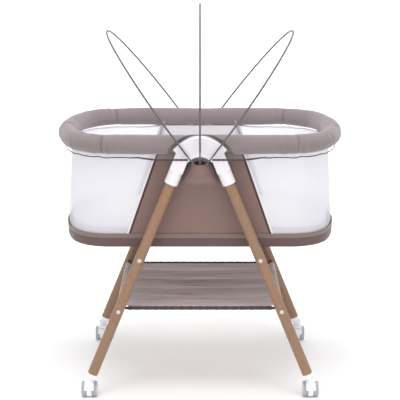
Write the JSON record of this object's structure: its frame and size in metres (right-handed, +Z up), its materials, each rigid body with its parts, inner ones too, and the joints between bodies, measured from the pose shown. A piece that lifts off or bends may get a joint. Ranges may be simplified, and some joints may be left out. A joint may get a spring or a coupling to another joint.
{
  "type": "bassinet on stand",
  "caption": "Swinging bassinet with padded rail, mesh ends and folding net canopy, hung from a wooden trestle stand on casters with a pleated cloth shelf.",
  "frame": {"origin": "on the floor at the middle of the bounding box, under the bassinet's centre", "axes": "+Z up; X along the bassinet, with +X to the right when seen from the front; -Y is the front, the side the picture shows"},
  "size_m": [0.9118, 0.5946, 1.2102],
  "materials": {
    "hub_white": "smooth moulded white plastic",
    "beech_wood": "stained beech with a clear satin coat",
    "black_steel": "black powder coat",
    "screw_steel": "zinc-plated steel",
    "shelf_cloth": "pleated woven polyester",
    "wheel_white": "moulded nylon",
    "rail_cloth": "padded taupe melange cloth",
    "panel_cloth": "plain brown woven cloth",
    "band_cloth": "dark brown woven cloth",
    "mesh_cloth": "white open mesh",
    "net_cloth": "sheer white netting",
    "hem_cord": "covered elastic cord",
    "fan_plastic": "dark moulded plastic",
    "hoop_rod": "glass-fibre rod in a dark cloth sleeve",
    "steel": "grey powder coat",
    "board": "fibreboard",
    "mattress_cloth": "quilted white cotton"
  },
  "bodies": {
    "stand": {"front_hub_outer_shell": "hub_white", "front_hub_inner_shell": "hub_white", "rear_hub_outer_shell": "hub_white", "rear_hub_inner_shell": "hub_white", "front_left_leg": "beech_wood", "front_right_leg": "beech_wood", "rear_left_leg": "beech_wood", "rear_right_leg": "beech_wood", "front_left_foot_cap": "hub_white", "front_right_foot_cap": "hub_white", "rear_left_foot_cap": "hub_white", "rear_right_foot_cap": "hub_white", "left_lower_bar": "black_steel", "left_upper_bar": "black_steel", "right_lower_bar": "black_steel", "right_upper_bar": "black_steel", "leg_screws": "screw_steel", "shelf_rods": "black_steel", "shelf_cloth": "shelf_cloth"},
    "bassinet": {"rim_tube": "steel", "front_rail_cover": "rail_cloth", "rear_rail_cover": "rail_cloth", "left_rail_cover": "rail_cloth", "right_rail_cover": "rail_cloth", "front_swing_bracket": "steel", "rear_swing_bracket": "steel", "front_fan_bracket": "fan_plastic", "rear_fan_bracket": "fan_plastic", "front_pivot_cover": "panel_cloth", "rear_pivot_cover": "panel_cloth", "side_struts": "steel", "front_panel": "panel_cloth", "rear_panel": "panel_cloth", "left_mesh_wall": "mesh_cloth", "right_mesh_wall": "mesh_cloth", "base_band": "band_cloth", "base_tube": "steel", "base_board": "board", "mattress": "mattress_cloth", "centre_hoop": "hoop_rod"},
    "left_hoop": {"left_hoop": "hoop_rod", "left_middle_net": "net_cloth", "left_end_net": "net_cloth", "left_hem": "hem_cord"},
    "right_hoop": {"right_hoop": "hoop_rod", "right_middle_net": "net_cloth", "right_end_net": "net_cloth", "right_hem": "hem_cord"},
    "front_left_caster": {"front_left_caster_hood": "wheel_white"},
    "front_left_wheels": {"front_left_caster_wheels": "wheel_white"},
    "front_left_brake": {"front_left_caster_brake": "wheel_white"},
    "front_right_caster": {"front_right_caster_hood": "wheel_white"},
    "front_right_wheels": {"front_right_caster_wheels": "wheel_white"},
    "front_right_brake": {"front_right_caster_brake": "wheel_white"},
    "rear_left_caster": {"rear_left_caster_hood": "wheel_white"},
    "rear_left_wheels": {"rear_left_caster_wheels": "wheel_white"},
    "rear_left_brake": {"rear_left_caster_brake": "wheel_white"},
    "rear_right_caster": {"rear_right_caster_hood": "wheel_white"},
    "rear_right_wheels": {"rear_right_caster_wheels": "wheel_white"},
    "rear_right_brake": {"rear_right_caster_brake": "wheel_white"}
  },
  "joints": [
    {"name": "bassinet_swing", "type": "hinge", "parent": "stand", "child": "bassinet", "pos_m": [0, 0, 0.731], "axis": [0, 1, 0], "range_deg": [-5, 5]},
    {"name": "left_hoop_fold", "type": "hinge", "parent": "bassinet", "child": "left_hoop", "pos_m": [0, 0, 0.731], "axis": [0, 1, 0], "range_deg": [0, 28], "deforming": ["left_middle_net", "left_end_net", "left_hem"]},
    {"name": "right_hoop_fold", "type": "hinge", "parent": "bassinet", "child": "right_hoop", "pos_m": [0, 0, 0.731], "axis": [0, 1, 0], "range_deg": [-28, 0], "deforming": ["right_middle_net", "right_end_net", "right_hem"]},
    {"name": "front_left_swivel", "type": "hinge", "parent": "stand", "child": "front_left_caster", "pos_m": [-0.349, -0.256, 0.06], "axis": [0, 0, 1], "continuous": true},
    {"name": "front_left_wheel_spin", "type": "hinge", "parent": "front_left_caster", "child": "front_left_wheels", "pos_m": [-0.349, -0.246, 0.0235], "axis": [1, 0, 0], "continuous": true},
    {"name": "front_left_brake_press", "type": "hinge", "parent": "front_left_caster", "child": "front_left_brake", "pos_m": [-0.349, -0.22851, 0.04848], "axis": [1, 0, 0], "range_deg": [-12, 8]},
    {"name": "front_right_swivel", "type": "hinge", "parent": "stand", "child": "front_right_caster", "pos_m": [0.349, -0.256, 0.06], "axis": [0, 0, 1], "continuous": true},
    {"name": "front_right_wheel_spin", "type": "hinge", "parent": "front_right_caster", "child": "front_right_wheels", "pos_m": [0.349, -0.246, 0.0235], "axis": [1, 0, 0], "continuous": true},
    {"name": "front_right_brake_press", "type": "hinge", "parent": "front_right_caster", "child": "front_right_brake", "pos_m": [0.349, -0.22851, 0.04848], "axis": [1, 0, 0], "range_deg": [-12, 8]},
    {"name": "rear_left_swivel", "type": "hinge", "parent": "stand", "child": "rear_left_caster", "pos_m": [-0.349, 0.256, 0.06], "axis": [0, 0, 1], "continuous": true},
    {"name": "rear_left_wheel_spin", "type": "hinge", "parent": "rear_left_caster", "child": "rear_left_wheels", "pos_m": [-0.349, 0.246, 0.0235], "axis": [1, 0, 0], "continuous": true},
    {"name": "rear_left_brake_press", "type": "hinge", "parent": "rear_left_caster", "child": "rear_left_brake", "pos_m": [-0.349, 0.22851, 0.04848], "axis": [1, 0, 0], "range_deg": [-8, 12]},
    {"name": "rear_right_swivel", "type": "hinge", "parent": "stand", "child": "rear_right_caster", "pos_m": [0.349, 0.256, 0.06], "axis": [0, 0, 1], "continuous": true},
    {"name": "rear_right_wheel_spin", "type": "hinge", "parent": "rear_right_caster", "child": "rear_right_wheels", "pos_m": [0.349, 0.246, 0.0235], "axis": [1, 0, 0], "continuous": true},
    {"name": "rear_right_brake_press", "type": "hinge", "parent": "rear_right_caster", "child": "rear_right_brake", "pos_m": [0.349, 0.22851, 0.04848], "axis": [1, 0, 0], "range_deg": [-8, 12]}
  ]
}
